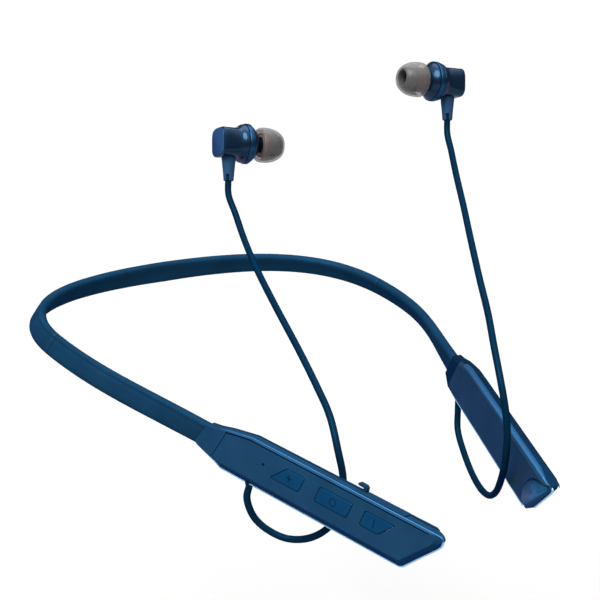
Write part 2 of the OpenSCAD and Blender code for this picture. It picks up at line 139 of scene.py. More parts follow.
# ---- cords: they leave the pods and the stems straight, then follow the CAD's route, in metres
STRAIGHT = 4.5
IN_STEM = 2
CURVE_STEPS = 8
ROUTE = {
    "r": [(-.054, -.1425, -.0185), (-.051, -.146, -.022), (-.047, -.151, -.0235),
          (-.0435, -.157, -.021), (-.041, -.162, -.0155), (-.04, -.165, -.008), (-.04, -.165, .0015),
          (-.0405, -.1615, .01), (-.039, -.1545, .017), (-.037, -.145, .0215), (-.033, -.129, .0265),
          (-.028, -.108, .0325), (-.023, -.0895, .0375), (-.019, -.076, .042), (-.017, -.067, .0475)],
    "l": [(.0435, -.1235, -.019), (.0415, -.1295, -.0235), (.0375, -.139, -.0265), (.032, -.1495, -.026),
          (.025, -.1605, -.0215), (.0185, -.1695, -.014), (.013, -.176, -.0045), (.0095, -.1795, .0045),
          (.008, -.18, .013), (.008, -.1775, .0205), (.009, -.1725, .028), (.0125, -.1645, .0345),
          (.0175, -.155, .0405), (.024, -.1425, .0465), (.033, -.127, .0525), (.042, -.112, .058),
          (.049, -.099, .064), (.0535, -.09, .0695)]}


def smooth_line(points, steps):
    """Catmull-Rom curve through all but the first and last point."""
    line = []
    for a, b, c, d in zip(points, points[1:], points[2:], points[3:]):
        for k in range(steps):
            t = k / steps
            line.append(0.5 * (2 * b + (c - a) * t + (2 * a - 5 * b + 4 * c - d) * t * t
                               + (3 * b - a - 3 * c + d) * t ** 3))
    return line + [points[-2]]


def cord_line(side):
    """The cord's middle line, from the pod's lower side up into the bud's stem."""
    u, v, n = EXIT[side]
    exit_at = POD[side] @ Vector((u, v, n))
    below = POD[side] @ Vector((u, v - STRAIGHT, n))
    stem = BUD[side] @ Vector((-STEM_BACK, 0, STEM_END + IN_STEM))
    under = BUD[side] @ Vector((-STEM_BACK, 0, STEM_END - STRAIGHT))
    route = [Vector(p) for p in ROUTE[side]]
    inside, beyond = 2 * exit_at - below, 2 * stem - under
    return smooth_line([inside, exit_at, below, *route, under, stem, beyond], CURVE_STEPS)


def add_cord(side):
    """A round tube along the line."""
    line = cord_line(side)
    curve = bpy.data.curves.new(f"cord_line_{side}", "CURVE")
    curve.dimensions = "3D"
    curve.bevel_depth = CORD_D / 2 * MM
    curve.bevel_resolution = 4
    curve.use_fill_caps = True
    spline = curve.splines.new("POLY")
    spline.points.add(len(line) - 1)
    for point, at in zip(spline.points, line):
        point.co = (*at, 1)
    spline.use_smooth = True
    path = bpy.data.objects.new(f"cord_path_{side}", curve)
    bpy.context.scene.collection.objects.link(path)
    graph = bpy.context.evaluated_depsgraph_get()
    tube = bpy.data.meshes.new_from_object(path.evaluated_get(graph))
    bpy.data.objects.remove(path)
    piece = bpy.data.objects.new(f"earbud_cord_{side}", tube)
    bpy.context.scene.collection.objects.link(piece)
    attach(piece, f"arm_{side}")
    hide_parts(f"cord_{side}")
    return piece


cords = {side: add_cord(side) for side in SIDES}


# ---- materials: colour, roughness and grain vary by noise in object space
def srgb(red, green, blue):
    """A linear colour from display values."""
    def linear(value):
        c = value / 255
        return c / 12.92 if c <= 0.04045 else ((c + 0.055) / 1.055) ** 2.4
    return (linear(red), linear(green), linear(blue), 1)


def node(tree, kind, **settings):
    """A new node; each setting goes to the input of that name, or else to the property."""
    made = tree.nodes.new(kind)
    for key, value in settings.items():
        if key in made.inputs:
            made.inputs[key].default_value = value
        else:
            setattr(made, key, value)
    return made


def noise(tree, coords, scale, detail=3.0):
    """Noise between 0 and 1."""
    made = node(tree, "ShaderNodeTexNoise", Scale=scale, Detail=detail)
    tree.links.new(coords, made.inputs["Vector"])
    return made.outputs["Fac"]


def ramp(tree, value, low, high, a, b):
    """Takes low..high to a..b and stays level outside it."""
    made = node(tree, "ShaderNodeMapRange")
    for name, number in zip(("From Min", "From Max", "To Min", "To Max"), (low, high, a, b)):
        made.inputs[name].default_value = number
    tree.links.new(value, made.inputs["Value"])
    return made.outputs["Result"]


def mixed(tree, factor, first, second):
    """A blend of two colours."""
    made = node(tree, "ShaderNodeMix", data_type="RGBA")
    made.inputs["A"].default_value = first
    made.inputs["B"].default_value = second
    tree.links.new(factor, made.inputs["Factor"])
    return made.outputs["Result"]


NOISE_SPAN = (0.3, 0.7)
ROUGH_SPREAD = 0.05


def surface(name, colour, rough, tone=0.1, blotch=90.0, grain=2500.0, bump=0.04, depth=0.02,
            stretch=(1, 1, 1), **sockets):
    """A principled surface whose colour, roughness and height come from noise; depth is in millimetres."""
    material = bpy.data.materials.new(name)
    material.use_nodes = True
    tree = material.node_tree
    shader = tree.nodes["Principled BSDF"]
    for key, value in sockets.items():
        shader.inputs[key.replace("_", " ")].default_value = value
    place = node(tree, "ShaderNodeTexCoord")
    mapped = node(tree, "ShaderNodeMapping", Scale=stretch)
    tree.links.new(place.outputs["Object"], mapped.inputs["Vector"])
    coords = mapped.outputs["Vector"]
    broad, fine = noise(tree, coords, blotch), noise(tree, coords, grain, 4.0)
    light = tuple(min(1, c * (1 + tone)) for c in colour[:3]) + (1,)
    dark = tuple(c * (1 - tone) for c in colour[:3]) + (1,)
    low, high = NOISE_SPAN
    tint = mixed(tree, ramp(tree, broad, low, high, 0, 1), dark, light)
    tree.links.new(tint, shader.inputs["Base Color"])
    sheen = ramp(tree, fine, low, high, rough - ROUGH_SPREAD, rough + ROUGH_SPREAD)
    tree.links.new(sheen, shader.inputs["Roughness"])
    if bump:
        relief = node(tree, "ShaderNodeBump", Strength=bump, Distance=depth * MM)
        tree.links.new(fine, relief.inputs["Height"])
        tree.links.new(relief.outputs["Normal"], shader.inputs["Normal"])
    return material


# The photographed plastics stay blue where they are seen edge on: no grey glaze over them, a blue edge
# on their metallic part.
DEEP_EDGE = {"Specular_IOR_Level": 0.0, "Specular_Tint": srgb(70, 130, 190)}
POLISH_EDGE = {"Specular_Tint": srgb(90, 150, 205)}
MAT = {
    "sleeve": surface("sleeve_rubber", srgb(15, 45, 68), 0.46, bump=0.10, Metallic=0.25, **DEEP_EDGE),
    "pod_face": surface("pod_face_plastic", srgb(25, 58, 86), 0.40, bump=0.06, Metallic=0.45, **DEEP_EDGE),
    "pod_body": surface("pod_body_plastic", srgb(15, 46, 70), 0.36, bump=0.06, Metallic=0.4, **DEEP_EDGE),
    # The next look is a darker copy of the battery pod's plastic below it: painted shade on its top side,
    # neck and front shell.
    "battery_shaded": surface("battery_shaded_plastic", srgb(11, 34, 54), 0.4, bump=0.06, Metallic=0.4,
                             **DEEP_EDGE),
    "battery_body": surface("battery_pod_plastic", srgb(32, 58, 80), 0.36, bump=0.06, Metallic=0.4,
                            **DEEP_EDGE),
    # rim is a pale copy of the pod plastic: painted highlight along the pods' lower and inner edges.
    "rim": surface("pod_rim_painted_highlight", srgb(130, 185, 230), 0.25, tone=0.06, bump=0.03, Metallic=0.8),
    # The next look is a lighter copy of the control pod's plastic: painted highlight along the top of its
    # face.
    "edge": surface("pod_edge_painted_highlight", srgb(48, 96, 136), 0.3, tone=0.06, bump=0.03, Metallic=0.5,
                    **POLISH_EDGE),
    # The next look, a lighter copy of the pod plastic, is painted highlight on the battery pod's upper bevel
    # and on its scoop.
    "trim_highlight": surface("pod_trim_painted_highlight", srgb(34, 82, 122), 0.32, tone=0.06, bump=0.03, Metallic=0.6,
                    **POLISH_EDGE),
    "key": surface("key_plastic", srgb(14, 56, 90), 0.34, bump=0.04, Metallic=0.5, **DEEP_EDGE),
    "mark": surface("key_mark_paint", srgb(9, 30, 50), 0.45, bump=0.03, **DEEP_EDGE),
    # The next look is near black: painted shadow in the groove along the top of the pods' faces.
    "groove_shade": surface("groove_painted_shade", srgb(4, 14, 26), 0.6, bump=0.05, **DEEP_EDGE),
    "flap": surface("flap_rubber", srgb(16, 44, 68), 0.5, bump=0.1, **DEEP_EDGE),
    "cord": surface("cord_rubber", srgb(5, 32, 52), 0.36, bump=0.08, Metallic=0.3, **DEEP_EDGE),
    "boot": surface("boot_rubber", srgb(8, 30, 50), 0.45, bump=0.1, **DEEP_EDGE),
    "bud": surface("bud_gloss_plastic", srgb(18, 38, 58), 0.22, bump=0.02, Metallic=0.6, Coat_Weight=0.1,
                   Coat_Roughness=0.1, **POLISH_EDGE),
    # stem is a lighter copy of the bud's plastic: painted light, with the whole stem drawn as if lit.
    "stem": surface("bud_stem_lit_plastic", srgb(38, 68, 100), 0.36, bump=0.04, Metallic=0.3, **DEEP_EDGE),
    "back": surface("bud_back_plastic", srgb(40, 70, 106), 0.38, bump=0.04, Metallic=0.4, **DEEP_EDGE),
    "ring": surface("bud_ring_metal", srgb(24, 58, 88), 0.28, bump=0.03, Metallic=0.8, stretch=(1, 1, 8),
                    **POLISH_EDGE),
    "steel": surface("steel_wire", srgb(185, 190, 196), 0.3, grain=900.0, Metallic=1.0, stretch=(1, 1, 12)),
    "ribbon": surface("ribbon_film", srgb(201, 124, 58), 0.35, blotch=400.0),
    "board": surface("solder_mask", srgb(29, 107, 69), 0.3, tone=0.3, blotch=500.0, Coat_Weight=0.5),
    "switch": surface("switch_body", srgb(216, 216, 210), 0.4, tone=0.05),
    "chip": surface("chip_epoxy", srgb(40, 43, 48), 0.45, blotch=300.0, tone=0.3),
    "brass": surface("plated_brass", srgb(190, 158, 98), 0.3, Metallic=1.0),
    "foam": surface("foam", srgb(48, 50, 54), 0.85, blotch=900.0, tone=0.35, bump=0.5, depth=0.1),
    "foil": surface("cell_foil", srgb(154, 166, 180), 0.35, Metallic=0.9, grain=600.0, bump=0.15,
                    depth=0.05),
    "nickel": surface("nickel", srgb(190, 193, 197), 0.2, Metallic=1.0),
    "mesh": surface("nozzle_weave", srgb(139, 143, 148), 0.4, Metallic=1.0, grain=9000.0, bump=0.6,
                    depth=0.1),
    "tip": surface("tip_silicone", srgb(84, 83, 83), 0.34, bump=0.0, Alpha=0.56, Specular_IOR_Level=0.3),
    "liner": surface("tip_liner_silicone", srgb(70, 70, 72), 0.4, bump=0.03),
    "core": surface("tip_core_silicone", srgb(150, 44, 34), 0.35, bump=0.03),
}
CAD_LOOK = {
    "memory_wire": "steel", "band_ribbon": "ribbon", "main_board": "board", "tact_switches": "switch",
    "shield_can": "nickel", "board_parts": "chip", "vibration_motor": "steel", "microphone": "brass",
    "mic_gasket": "foam", "usb_port": "nickel", "battery_cell": "foil", "battery_pad": "foam",
    "battery_board": "board", "battery_parts": "chip", "battery_tabs": "nickel", "cord_boot_r": "boot",
    "cord_boot_l": "boot", "driver_r": "brass", "driver_l": "brass", "magnet_r": "nickel",
    "magnet_l": "nickel", "nozzle_mesh_r": "mesh", "nozzle_mesh_l": "mesh"}


def dress_cad():
    """Gives every node that is carried over from the CAD its look."""
    for name, look in CAD_LOOK.items():
        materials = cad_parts[name].data.materials
        materials.clear()
        materials.append(MAT[look])


dress_cad()
for cord_piece in cords.values():
    cord_piece.data.materials.append(MAT["cord"])


# ---- mesh helpers
def new_object(name, points, faces, smooth=True):
    """A mesh object from points and faces."""
    mesh = bpy.data.meshes.new(name)
    mesh.from_pydata([tuple(p) for p in points], [], faces)
    mesh.validate()
    mesh.polygons.foreach_set("use_smooth", [smooth] * len(mesh.polygons))
    made = bpy.data.objects.new(name, mesh)
    bpy.context.scene.collection.objects.link(made)
    return made


def settle(piece, matrix=None):
    """Puts a mesh into the assembly's frame, with its faces turned outward."""
    if matrix is not None:
        piece.data.transform(matrix)
    built = bmesh.new()
    built.from_mesh(piece.data)
    bmesh.ops.remove_doubles(built, verts=built.verts, dist=1e-7)
    bmesh.ops.recalc_face_normals(built, faces=built.faces)
    built.to_mesh(piece.data)
    built.free()
    piece.data.update()
    return piece


def ring_faces(count, rings, closed=False):
    """The faces between rings of count points each."""
    faces = []
    for i in range(rings if closed else rings - 1):
        a, b = i * count, ((i + 1) % rings) * count
        faces += [(a + j, a + (j + 1) % count, b + (j + 1) % count, b + j) for j in range(count)]
    return faces


def loft(name, rings, closed=False):
    """A solid through the rings: capped at both ends, or joined end to end when closed."""
    count = len(rings[0])
    faces = ring_faces(count, len(rings), closed)
    if not closed:
        last = (len(rings) - 1) * count
        faces += [tuple(reversed(range(count))), tuple(range(last, last + count))]
    return new_object(name, [p for ring in rings for p in ring], faces)


def layer(outline, z):
    """The outline as a ring at one height."""
    return [Vector((x, y, z)) for x, y in outline]


def prism(name, outline, low, high):
    """The outline raised from one height to another."""
    return loft(name, [layer(outline, low), layer(outline, high)])


def circle(u, v, radius, steps=24):
    """A round outline."""
    angles = (2 * math.pi * k / steps for k in range(steps))
    return [(u + radius * math.cos(a), v + radius * math.sin(a)) for a in angles]


def turned(name, profile, steps=64):
    """A solid of revolution about X from [x, radius] points, closed on itself."""
    angles = [2 * math.pi * k / steps for k in range(steps)]
    rings = [[Vector((x, r * math.cos(a), r * math.sin(a))) for x, r in profile] for a in angles]
    return loft(name, rings, closed=True)


def finished(piece):
    """The piece's mesh with its modifiers applied."""
    graph = bpy.context.evaluated_depsgraph_get()
    mesh = bpy.data.meshes.new_from_object(piece.evaluated_get(graph))
    piece.modifiers.clear()
    piece.data = mesh
    return piece


def cut(piece, tools, operation="DIFFERENCE"):
    """Takes the tools away from the piece, or adds them to it, and deletes them."""
    for tool in tools:
        settle(tool)
        change = piece.modifiers.new("cut", "BOOLEAN")
        change.operation = operation
        change.solver = "EXACT"
        change.object = tool
        finished(piece)
        bpy.data.objects.remove(tool)
    return piece


def clean(piece):
    """Merges flat neighbours, so that only real edges are left to round."""
    built = bmesh.new()
    built.from_mesh(piece.data)
    bmesh.ops.remove_doubles(built, verts=built.verts, dist=1e-4)
    bmesh.ops.dissolve_limit(built, angle_limit=math.radians(1.0), verts=built.verts, edges=built.edges)
    built.to_mesh(piece.data)
    built.free()
    return piece


def rounded(piece, width, segments=3, angle=22.0):
    """Rounds the edges; width is in the piece's own units at this moment."""
    change = piece.modifiers.new("rounding", "BEVEL")
    change.width = width
    change.segments = segments
    change.limit_method = "ANGLE"
    change.angle_limit = math.radians(angle)
    change.harden_normals = True
    change.use_clamp_overlap = True
    piece.data.polygons.foreach_set("use_smooth", [True] * len(piece.data.polygons))
    return finished(piece)


def fit_out(piece, body, nodes, look):
    """Attaches the piece to its moving body, hides the CAD nodes it stands for and gives it its look. A
    piece given no body is attached to none."""
    if body:
        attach(piece, body)
    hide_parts(*nodes)
    piece.data.materials.clear()
    piece.data.materials.append(MAT[look])
    return piece


# ---- the strap: a section swept along two curves a side
NAPE_PULL = 32
WIDE_PULL = 41
SIDE_PULL = 28
STRAP_STEPS = 60
WIRE_AT, WIRE_R = 1.3, 0.55
RIBBON = [(-0.1, 0.16), (-0.1, -0.16), (-2.2, -0.16), (-2.2, 0.16)]


def bezier(p, t):
    """A point on a cubic curve."""
    s = 1 - t
    return s ** 3 * p[0] + 3 * s * s * t * p[1] + 3 * s * t * t * p[2] + t ** 3 * p[3]


def bezier_slope(p, t):
    """The curve's direction there."""
    s = 1 - t
    return 3 * s * s * (p[1] - p[0]) + 6 * s * t * (p[2] - p[1]) + 3 * t * t * (p[3] - p[2])


def strap_place(g, q):
    """Middle of the strap and its across and outward directions; q is 0 at the nape, 1 where the band is
    widest and 2 where the pod begins, then 1 a millimetre."""
    toe = math.radians(TOE_IN + g * SWAY_TURN)
    heading = Vector((-math.sin(toe), -math.cos(toe)))
    end = Vector((GAP_HALF - g * SWAY, LEAD["l" if g > 0 else "r"] - DEPTH))
    wide = Vector((HALF_WIDTH, -WIDE_AT))
    nape = [Vector((0, STRAP_T / 2)), Vector((NAPE_PULL, STRAP_T / 2)), wide + Vector((0, WIDE_PULL)), wide]
    side = [wide, wide - Vector((0, SIDE_PULL)), end - SIDE_PULL * heading, end]
    if q <= 1:
        middle, along = bezier(nape, q), bezier_slope(nape, q)
    elif q <= 2:
        middle, along = bezier(side, q - 1), bezier_slope(side, q - 1)
    else:
        middle, along = end + (q - 2) * heading, heading
    along = along.normalized()
    s = min(q, 2) / 2
    lean = math.radians(STRAP_LEAN * 4 * s * (1 - s) + POD_LEAN * s * (2 * s - 1))
    out, up = Vector((-g * along[1], along[0], 0)), Vector((0, 0, 1))
    across = math.cos(lean) * up - math.sin(lean) * out
    outward = math.sin(lean) * up + math.cos(lean) * out
    return Vector((g * middle[0], middle[1], 0)), across, outward


def strap_ring(g, q, section):
    """The section, of [across, outward] points, at one place along the strap."""
    middle, across, outward = strap_place(g, q)
    return [MM * (middle + a * across + n * outward) for a, n in section]


def strap_section():
    """Outer side with a bead along its upper edge, inner side slightly hollow."""
    half, thick = STRAP_H / 2, STRAP_T / 2
    outer = [(-half + 0.05, 0.35), (-half + 0.25, 0.95), (-half + 0.7, thick - 0.25), (-half + 1.3, thick),
             (-1.2, thick), (0.4, thick), (1.5, thick - 0.06), (1.85, thick - 0.2), (2.1, thick - 0.24),
             (2.4, thick - 0.16), (2.8, thick - 0.12), (3.2, thick - 0.28), (3.6, thick - 0.7),
             (half - 0.05, 0.45)]
    inner = [(half, -0.2), (half - 0.1, -0.8), (half - 0.5, -thick + 0.25), (half - 1.1, -thick),
             (1.6, -thick + 0.16), (0, -thick + 0.32), (-1.6, -thick + 0.22), (-half + 1.1, -thick),
             (-half + 0.5, -thick + 0.25), (-half + 0.1, -0.8), (-half, -0.2)]
    return outer + inner


def add_strap():
    """The stiff nape and the two springy sides, which run on a few millimetres into the pods."""
    section, steps = strap_section(), STRAP_STEPS
    right = [strap_ring(-1, k / steps, section) for k in range(steps, 0, -1)]
    left = [strap_ring(1, k / steps, section) for k in range(steps + 1)]
    nape = settle(loft("strap_nape", right + left))
    fit_out(nape, "band", ["neck_sleeve"], "sleeve")
    for side, g in SIDES.items():
        places = [1 + k / steps for k in range(steps + 1)] + [4, 6]
        sleeve = settle(loft(f"strap_side_{side}", [strap_ring(g, q, section) for q in places]))
        fit_out(sleeve, None, [f"flex_sleeve_{side}"], "sleeve")
        bend(sleeve)


def bend(piece):
    """Bakes the piece's placement into its mesh."""
    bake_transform(piece)


def add_strap_core(side):
    """The wire and the ribbon inside a springy side."""
    g = SIDES[side]
    steps = STRAP_STEPS // 2
    for kind, section, slot, look in (("wire", circle(WIRE_AT, 0, WIRE_R, 12), "spring_steel", "steel"),
                                      ("ribbon", RIBBON, "ribbon_film", "ribbon")):
        places = [1 + k / steps for k in range(steps + 1)] + [5, 8]
        core = settle(loft(f"strap_{kind}_{side}", [strap_ring(g, q, section) for q in places]))
        fit_out(core, None, [f"flex_{kind}_{side}"], look)
        bend(core)


add_strap()
for side_name in SIDES:
    add_strap_core(side_name)


# ---- pods, in millimetres in their own frame; the outlines are the control pod's and run anticlockwise
# from the neck's lower corner. RIM is the widest line, SHOULDER [u, v, n] the front's edge, PANEL its face.
FACE = POD_T / 2 - 0.2
KEY_TOP = POD_T / 2 - 0.05
KEY_FLOOR = 1.95
MARK_HEIGHT = 0.03
KEY_GAP = 0.2
GROOVE_DEPTH, FOLD_DEPTH = 0.35, 0.7
FRONT_ROUND, BACK_ROUND = 0.12, 0.14
INNER_INSET, INNER_CHAMFER = 0.7, 0.65
BOOT_V = -5.6
DEEPER = 1.07    # stretches the control pod's lower half past the CAD's outline
NECK_LENGTH, HALF_WAY = 10, 40
LOWER_START = {7.6: 3, 9.8: 5, 9.9: 5.1}    # the lower edge's first corners, moved for the battery pod
INNER_LEAN, INNER_TAPER = 0.103, 0.004
RIM = [(-1.4, -4.2), (7.6, -6.3), (9.8, -7.2), (80.8, -7.2), (93.5, 4.7), (94.35, 5.7), (94.4, 6.6),
       (93.8, 7.3), (92.8, 7.6), (22, 7.6), (12.6, 6), (7, 4.8), (3.6, 4.4)]
SHOULDER = [(-1.3, -3.9, 0.5), (7.6, -5.9, 0.3), (9.9, -6.75, 0.3), (16.5, -6.75, 0.3), (80.6, -6.75, 0.3),
            (93.0, 4.8, 0.4), (93.75, 5.8, 0.7), (93.8, 6.5, 1.3), (93.3, 7.15, 1.9), (92.5, 7.45, 2.3),
            (30.1, 7.5, 2.35), (22, 7.5, 2.35), (12.5, 5.95, 2.35), (7, 4.75, 2.1), (3.6, 4.35, 1.9)]
PANEL = [(-0.4, -2.4), (7.7, -4.0), (9.9, -4.4), (16.5, -4.4), (81.3, -4.4), (90.3, 4.1), (91.0, 5.3),
         (90.9, 6.2), (90.3, 6.75), (89.4, 7.0), (30.1, 7.0), (22, 7.0), (12.2, 5.5), (6.9, 4.35),
         (3.7, 3.95)]
PANEL_FOLDS = [(3, 10, 0.015), (1, 12, 0.075)]    # from corner to corner, and the fall past the fold
PANEL_FACETS = [(0, 1, 12, 13, 14), (1, 2, 3, 10, 11, 12), (3, 4, 5, 6, 7, 8, 9, 10)]
GROOVE = [(11.9, 4.95), (22, 6.5), (89.2, 6.5), (89.2, 6.92), (22, 6.92), (11.8, 5.38)]
NECK_GROOVE = [(7.75, -3.8), (8.0, -3.8), (12.3, 4.95), (12.05, 4.95)]
KEYS = {
    "key_plus": [(32.1, -0.8), (42.9, -0.8), (44.5, 4), (37.5, 4)],
    "key_multi": [(49.1, -0.8), (61.3, -0.8), (62.7, 4), (50.5, 4)],
    "key_minus": [(66.2, -0.6), (72.9, -0.6), (77.7, 4), (67.4, 4)]}
MIC = (28.5, 1.6)
FLAP_U, FLAP_N = (61.2, 79.8), (-1.1, 1.9)

# The scoop is in the battery pod's inner face; its edge is measured from SCOOP_END along the pod.
SCOOP_END = 89.5 + LONGER["l"]
SCOOP_SLOPE = 0.075
SCOOP_NECK = 12.2
SCOOP = [(-11, -12), (-11.6, -9), (-12.1, -6), (-12.2, -3.6), (-11.8, -1.6), (-10.4, 0.8), (-7.8, 3.4),
         (-4, 5.4), (0.3, 6.6), (5, 7.6), (9, 9), (12, 10)]

# The beads stand in for light on the edges: painted highlights, except the battery pod's top bead, which is
# painted shade. BEAD_LOW and BEAD_TIP make one line along the lower edge, up the slanted end and round the
# tip, BEAD_INNER follows the inner lower edge and BEAD_TOP the top of the face.
BEAD_WIDTH, FINE_BEAD = 0.3, 0.17
RIM_HEIGHT = 0.1
TIP_SLOPE, TIP_FROM = 0.52, 88.8    # how the control pod's bead climbs, per millimetre past TIP_FROM
BEAD_LOW = [RIM[0], (7.6, -6.3), (9.8, -7.2), (45, -7.2), (80.2, -7.2), (81.2, -6.83), (87, -1.39)]
BEAD_TIP = {"r": [(91.0, 2.4), (92.5, 4.0), (93.0, 5.2), (93.1, 6.1), (92.9, 6.7)],
            "l": [(93.2, 4.42), (94.2, 5.5), (94.45, 6.3), (94.2, 6.9)]}
BEAD_INNER = [(9.8, -6.85), (14, -6.85), (45, -6.85), (79.5, -6.85), (80.3, -6.7)]
BEAD_TOP = [(7.2, 4.85), (12.5, 5.95), (22, 7.5), (50, 7.5), (92.5, 7.45), (93.3, 7.15), (93.8, 6.5)]

# The inner face folds down to the neck along a line from RIM's corner CREASE to its corner FOLD_TOP.
CREASE = {"r": 1, "l": 2}
FOLD_TOP = 10
# The battery pod's front shell, top bead and neck take a darker copy of its plastic: painted shade. The
# control pod's top bead takes a lighter one: painted highlight.
BACK_LOOK = {"r": "pod_body", "l": "battery_body"}
NECK_LOOK = {"r": "pod_body", "l": "battery_shaded"}
TOP_LOOK = {"r": "edge", "l": "battery_shaded"}
FRONT_LOOK = {"r": "pod_face", "l": "battery_shaded"}


def grown(outline, by):
    """The outline moved outward by a distance; it runs anticlockwise."""
    moved = []
    for a, b, c in zip(outline[-1:] + outline[:-1], outline, outline[1:] + outline[:1]):
        before = (Vector(b) - Vector(a)).normalized()
        after = (Vector(c) - Vector(b)).normalized()
        one, two = Vector((before.y, -before.x)), Vector((after.y, -after.x))
        middle = (one + two).normalized()
        moved.append(tuple(Vector(b) + middle * (by / middle.dot(one))))
    return moved


def soft(outline, radius, steps=4):
    """The outline with its corners rounded."""
    made = []
    for a, b, c in zip(outline[-1:] + outline[:-1], outline, outline[1:] + outline[:1]):
        a, b, c = Vector(a), Vector(b), Vector(c)
        near, far = b + (a - b).normalized() * radius, b + (c - b).normalized() * radius
        for k in range(steps + 1):
            t = k / steps
            made.append(tuple((1 - t) ** 2 * near + 2 * t * (1 - t) * b + t * t * far))
    return made


def past(u, v, a, b):
    """How far a point lies on the neck's side of the line from a to b, or 0."""
    along = (Vector(b) - Vector(a)).normalized()
    return max(0, along.x * (v - a[1]) - along.y * (u - a[0]))


def panel_height(u, v):
    """The face is flat over the keys and falls past two folds towards the neck."""
    return FACE - sum(slope * past(u, v, PANEL[low], PANEL[high]) for low, high, slope in PANEL_FOLDS)


def faceted(name, rings, facets):
    """A loft whose last ring is closed by the given facets."""
    count, last = len(rings[0]), (len(rings) - 1) * len(rings[0])
    faces = ring_faces(count, len(rings)) + [tuple(reversed(range(count)))]
    faces += [tuple(last + k for k in facet) for facet in facets]
    return settle(new_object(name, [p for ring in rings for p in ring], faces))


def fitted(outline, side):
    """The outline on one side: the control pod is stretched a little downward, the battery pod is longer
    and its lower edge starts nearer the neck."""
    made = []
    for u, v, *rest in outline:
        if side == "r":
            v = v * DEEPER if v < 0 else v
        elif v < 0 and u < NECK_LENGTH:
            u = LOWER_START.get(u, u)
        elif u > HALF_WAY:
            u += LONGER[side]
        made.append((u, v, *rest))
    return made


def pod_front(side):
    """The front half's shell, with its grooves and, on the control side, the openings."""
    shoulder = fitted(SHOULDER, side)
    rings = [layer([p[:2] for p in shoulder], PART_LINE + 0.22), [Vector(p) for p in shoulder],
             [Vector((u, v, panel_height(u, v))) for u, v in fitted(PANEL, side)]]
    shell = faceted(f"pod_face_{side}", rings, PANEL_FACETS)
    hollow = fitted([(11.4, -5), (80.2, -5), (88, 4.5), (88, 6), (22, 6), (13, 4.6)], side)
    tools = [prism("hollow", hollow, -1, 2.1),
             prism("groove", fitted(GROOVE, side), FACE - GROOVE_DEPTH, 5),
             prism("neck_groove", fitted(NECK_GROOVE, side), FACE - FOLD_DEPTH, 5)]
    if side == "r":
        tools += [prism("gap", soft(grown(outline, KEY_GAP), 0.9), 1, 5) for outline in KEYS.values()]
        tools.append(prism("mic_hole", circle(*MIC, 0.55), 1, 5))
        tools += [port_tool(), slant_tool()]
    clean(cut(shell, tools))
    settle(rounded(shell, FRONT_ROUND), POD[side])
    return fit_out(shell, f"arm_{side}", [f"pod_front_{side}"], FRONT_LOOK[side])


def port_tool():
    """The opening for the port and the recess for its cover."""
    recess = rectangle(FLAP_U[0] - 0.2, FLAP_N[0] - 0.15, FLAP_U[1] + 0.2, FLAP_N[1] + 0.15)
    return loft("port", [[Vector((u, v, n)) for u, n in soft(recess, 0.4)] for v in (7.0, 9)])


def inner_height(u, v):
    """The inner face leans and thins a little towards the neck."""
    return INNER_LEAN * (v + 6.2) + INNER_TAPER * (88 - u) - POD_T / 2


def scoop_arc():
    """The curved edge of the scoop, from the lower side to the upper."""
    points = [Vector((x, y, 0)) for x, y in SCOOP]
    return [(p.x, p.y) for p in smooth_line(points, 4)]


def scoop_floor(x, y, more):
    """A point near the scoop's floor, which goes deeper towards the tip; more moves it into the pod."""
    u = SCOOP_END + x
    return Vector((u, y, inner_height(u, y) + more + SCOOP_SLOPE * (x + SCOOP_NECK)))


def scoop_tool():
    """A half disc pressed into the end of the inner face."""
    outline = scoop_arc() + [(14, 9), (14, -9)]
    deep = [scoop_floor(x, y, 0.06) for x, y in outline]
    return loft("scoop", [layer([p[:2] for p in deep], -6), deep])


def pod_scoop():
    """A plate on the floor of the scoop, in the lighter trim look: painted light on the scoop's facet."""
    floor = [p for p in scoop_arc() if abs(p[1]) < 6.3] + [(2.6, 6.2), (3.1, 5.2), (-9.3, -6.4)]
    rings = [[scoop_floor(x, y, more) for x, y in floor] for more in (0.3, 0.02)]
    plate = settle(loft("pod_scoop_l", rings), POD["l"])
    return fit_out(plate, "arm_l", ["pod_back_l"], "trim_highlight")


def slant_tool():
    """Takes the inner side of the control pod away towards its tip."""
    plan = [(84.6, -3.2), (88.8, -1.1), (94.6, 1.9), (96, 1.9), (96, -4), (84.6, -4)]
    return loft("slant", [[Vector((u, v, n)) for u, n in plan] for v in (-3, 9)])


